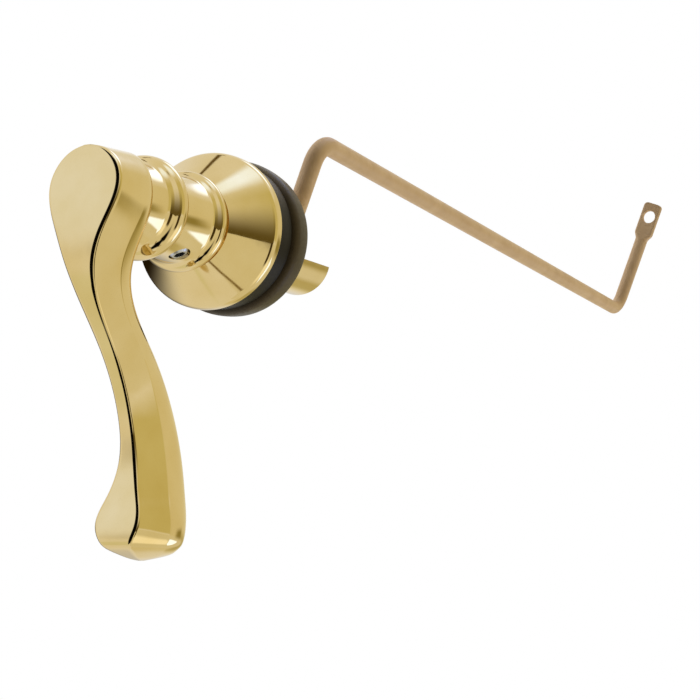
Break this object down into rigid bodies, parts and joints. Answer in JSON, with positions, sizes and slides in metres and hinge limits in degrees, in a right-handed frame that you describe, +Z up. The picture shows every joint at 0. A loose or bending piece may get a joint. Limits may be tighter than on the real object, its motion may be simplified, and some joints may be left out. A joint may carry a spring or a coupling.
{
  "type": "cistern lever",
  "caption": "Polished brass cistern lever: S-curved drop handle on a turned hub, bell flange with rubber gasket and nut, and a cranked lift arm with a drilled eye inside the tank.",
  "frame": {"origin": "on the spindle's axis at the gasket's rear face, which lies on the outside of the cistern's wall", "axes": "+Y into the cistern along the spindle, +Z up, +X to the right as seen from in front of the cistern"},
  "size_m": [0.045, 0.3791, 0.138],
  "materials": {
    "polished_brass": "polished",
    "satin_brass": "satin",
    "turned_brass": "turned",
    "steel": "plain",
    "black_rubber": "matte",
    "nylon": "matte"
  },
  "bodies": {
    "flange": {"bell_flange": "polished_brass", "gasket": "black_rubber", "clamp_washer": "turned_brass", "lock_nut": "turned_brass", "spindle_bush": "nylon"},
    "lever": {"lever_handle": "polished_brass", "set_screw": "steel", "lift_arm": "satin_brass"}
  },
  "joints": [
    {"name": "lever_turn", "type": "hinge", "parent": "flange", "child": "lever", "pos_m": [0, 0, 0], "axis": [0, 1, 0], "range_deg": [-75, 61]}
  ]
}
